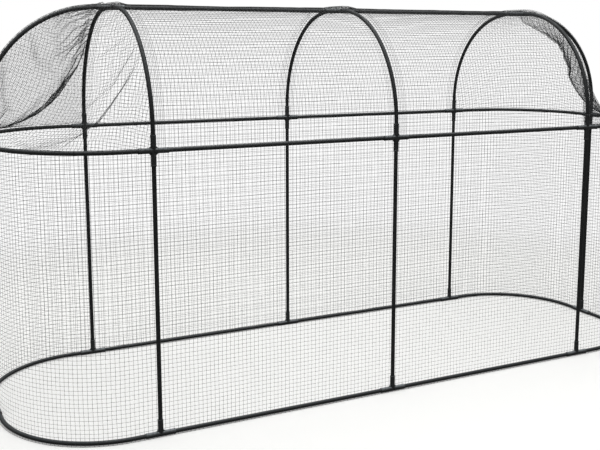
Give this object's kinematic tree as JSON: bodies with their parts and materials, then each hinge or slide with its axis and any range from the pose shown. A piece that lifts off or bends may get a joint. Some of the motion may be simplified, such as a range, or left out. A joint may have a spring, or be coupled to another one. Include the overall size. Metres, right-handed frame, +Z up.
{
  "type": "fruit cage",
  "caption": "Walk-in garden fruit cage: a round-ended frame of steel tubes in moulded push-fit sleeves, with arches and a ridge, under a fine net cover on walls and roof.",
  "frame": {"origin": "on the ground, under the middle of the cage", "axes": "+X along the cage and its ridge, +Y across it to the far side, +Z up"},
  "size_m": [3.5342, 1.2382, 1.8479],
  "materials": {
    "tube": "satin black powder coat",
    "fitting": "matt black moulded plastic",
    "net": "black knitted mesh"
  },
  "bodies": {
    "root": {"arch_far_left": "tube", "arch_far_middle": "tube", "arch_far_right": "tube", "arch_near_left": "tube", "arch_near_middle": "tube", "arch_near_right": "tube", "base_bend_far_left": "tube", "base_bend_far_right": "tube", "base_bend_near_left": "tube", "base_bend_near_right": "tube", "base_rail_far_left": "tube", "base_rail_far_right": "tube", "base_rail_near_left": "tube", "base_rail_near_right": "tube", "base_tee_end_left": "fitting", "base_tee_end_right": "fitting", "base_tee_far_left": "fitting", "base_tee_far_middle": "fitting", "base_tee_far_right": "fitting", "base_tee_near_left": "fitting", "base_tee_near_middle": "fitting", "base_tee_near_right": "fitting", "eaves_bend_far_left": "tube", "eaves_bend_far_right": "tube", "eaves_bend_near_left": "tube", "eaves_bend_near_right": "tube", "eaves_cross_end_left": "fitting", "eaves_cross_end_right": "fitting", "eaves_cross_far_left": "fitting", "eaves_cross_far_middle": "fitting", "eaves_cross_far_right": "fitting", "eaves_cross_near_left": "fitting", "eaves_cross_near_middle": "fitting", "eaves_cross_near_right": "fitting", "eaves_rail_far_left": "tube", "eaves_rail_far_right": "tube", "eaves_rail_near_left": "tube", "eaves_rail_near_right": "tube", "end_hoop_left": "tube", "end_hoop_right": "tube", "net_dome_left": "net", "net_dome_right": "net", "net_roof": "net", "net_wall_far": "net", "net_wall_left": "net", "net_wall_near": "net", "net_wall_right": "net", "post_end_left": "tube", "post_end_right": "tube", "post_far_left": "tube", "post_far_middle": "tube", "post_far_right": "tube", "post_near_left": "tube", "post_near_middle": "tube", "post_near_right": "tube", "ridge_cross_left": "fitting", "ridge_cross_middle": "fitting", "ridge_cross_right": "fitting", "ridge_rail_left": "tube", "ridge_rail_right": "tube"}
  },
  "joints": []
}
